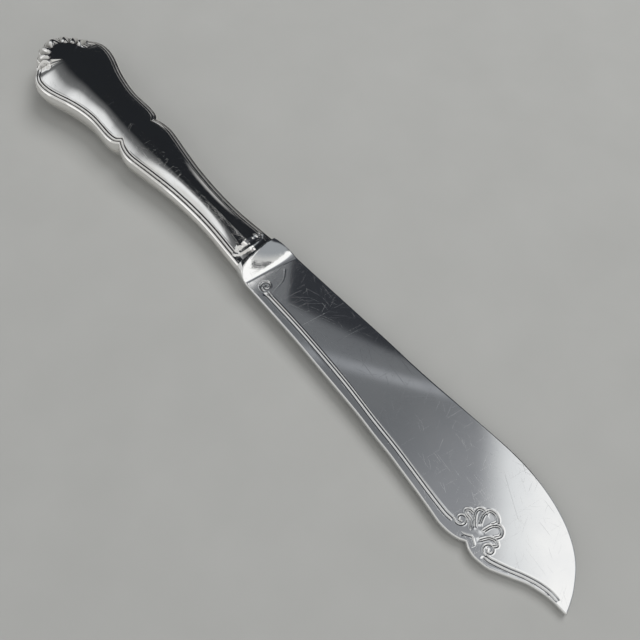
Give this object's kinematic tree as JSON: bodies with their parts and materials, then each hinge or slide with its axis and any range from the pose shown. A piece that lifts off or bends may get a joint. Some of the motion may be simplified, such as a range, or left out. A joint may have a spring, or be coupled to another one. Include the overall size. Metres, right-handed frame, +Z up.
{
  "type": "fish knife",
  "caption": "Hollow-handled fish knife with a reeded, shell-ended handle and a broad blunt blade with a cusped back and engraved shell.",
  "frame": {"origin": "on the table, under the middle of the knife's bounding box", "axes": "+X along the knife from the butt to the tip of the blade, +Y towards the blade's curved edge, +Z up, out of the engraved face"},
  "size_m": [0.201, 0.0248, 0.0111],
  "materials": {
    "polished_silver": "polished",
    "silver_solder": "satin",
    "filling_cement": "matte",
    "worn_blade_metal": "satin"
  },
  "bodies": {
    "root": {"handle_front": "polished_silver", "handle_back": "polished_silver", "seam_solder": "silver_solder", "handle_filling": "filling_cement", "blade": "worn_blade_metal"}
  },
  "joints": []
}
